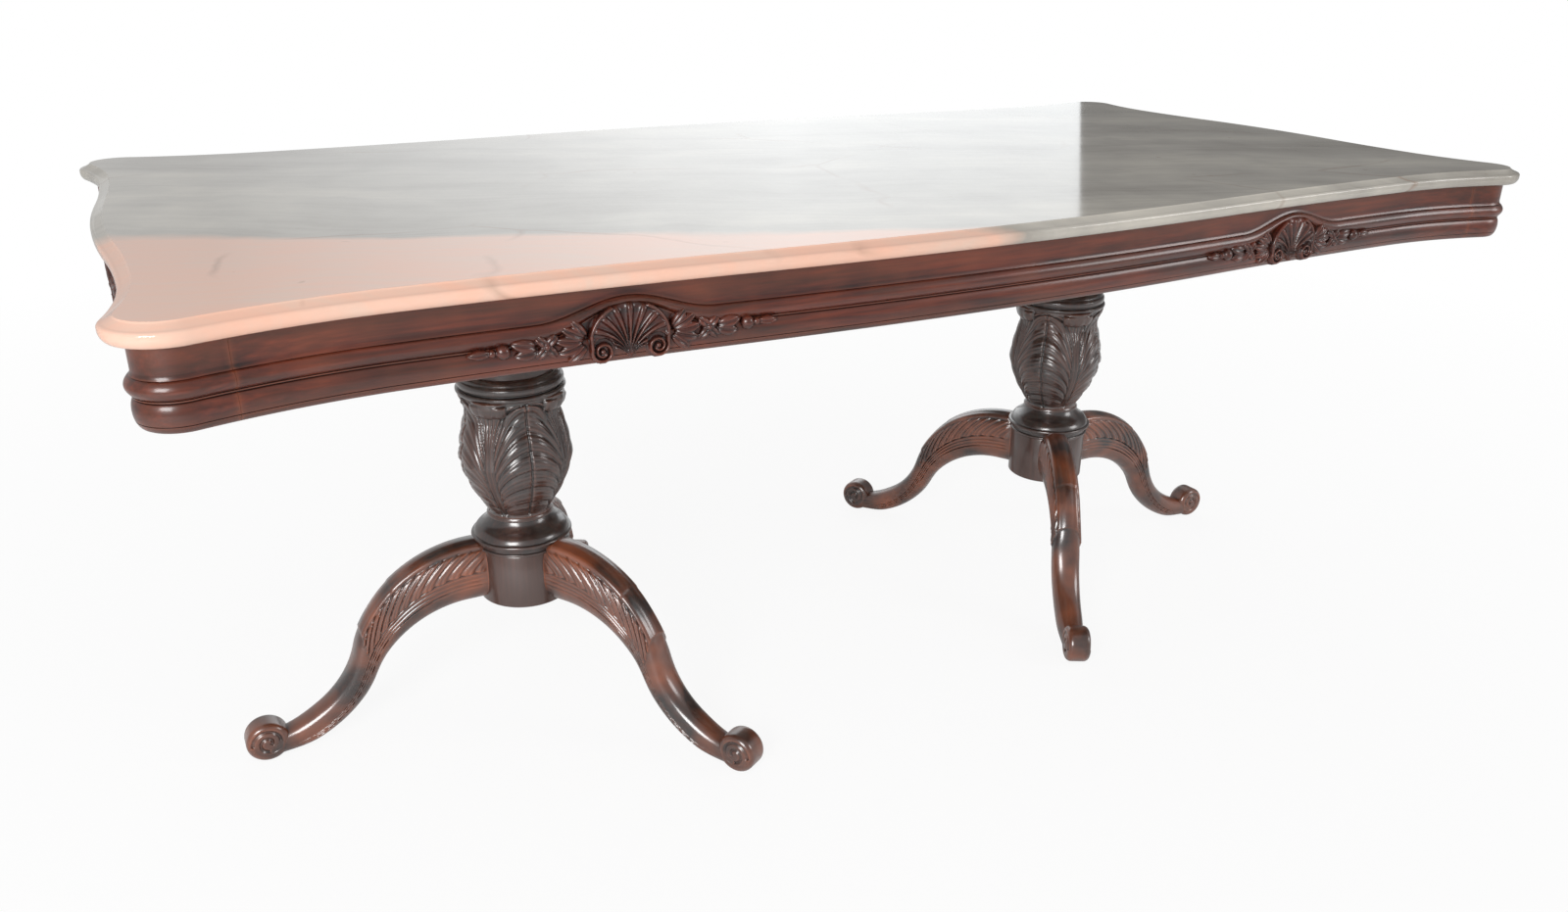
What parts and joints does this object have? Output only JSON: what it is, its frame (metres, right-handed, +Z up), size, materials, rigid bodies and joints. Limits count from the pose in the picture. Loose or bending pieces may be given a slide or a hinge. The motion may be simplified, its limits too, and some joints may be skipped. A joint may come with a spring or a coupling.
{
  "type": "double pedestal dining table",
  "caption": "Dining table with a loose serpentine marble slab on a moulded mahogany frame, carried by two turned and carved columns with scroll legs.",
  "frame": {"origin": "on the floor under the middle of the table", "axes": "+X along the table's length, +Y towards its back long side, +Z up"},
  "size_m": [1.965, 1, 0.77],
  "materials": {
    "marble": "polished pink and grey veined marble",
    "mahogany": "dark red-brown gloss varnish",
    "carcass_wood": "plain sawn and planed, unvarnished",
    "rod_steel": "zinc plated",
    "screws": "plain brass",
    "pads": "soft rubber discs"
  },
  "bodies": {
    "frame": {"back_left_corner_block": "mahogany", "back_left_shell": "mahogany", "back_rail": "mahogany", "back_right_corner_block": "mahogany", "back_right_shell": "mahogany", "bearer_cleats": "carcass_wood", "cleat_screws": "screws", "front_left_corner_block": "mahogany", "front_left_shell": "mahogany", "front_rail": "mahogany", "front_right_corner_block": "mahogany", "front_right_shell": "mahogany", "left_back_inner_leg": "mahogany", "left_base_ring": "mahogany", "left_carved_vase": "mahogany", "left_collar": "mahogany", "left_column_head": "mahogany", "left_end_rail": "mahogany", "left_end_shell": "mahogany", "left_front_inner_leg": "mahogany", "left_inner_bearer": "carcass_wood", "left_leg_dowels": "carcass_wood", "left_leg_hub": "mahogany", "left_outer_bearer": "carcass_wood", "left_outer_leg": "mahogany", "left_plate_screws": "screws", "left_rod_nuts": "rod_steel", "left_tie_rod": "rod_steel", "left_top_plate": "carcass_wood", "middle_bearer": "carcass_wood", "rail_dowels": "carcass_wood", "right_back_inner_leg": "mahogany", "right_base_ring": "mahogany", "right_carved_vase": "mahogany", "right_collar": "mahogany", "right_column_head": "mahogany", "right_end_rail": "mahogany", "right_end_shell": "mahogany", "right_front_inner_leg": "mahogany", "right_inner_bearer": "carcass_wood", "right_leg_dowels": "carcass_wood", "right_leg_hub": "mahogany", "right_outer_bearer": "carcass_wood", "right_outer_leg": "mahogany", "right_plate_screws": "screws", "right_rod_nuts": "rod_steel", "right_tie_rod": "rod_steel", "right_top_plate": "carcass_wood", "top_pads": "pads"},
    "slab": {"marble_top": "marble"}
  },
  "joints": [
    {"name": "slab_lift", "type": "slide", "parent": "frame", "child": "slab", "axis": [0, 0, 1], "range_m": [0, 0.25]}
  ]
}
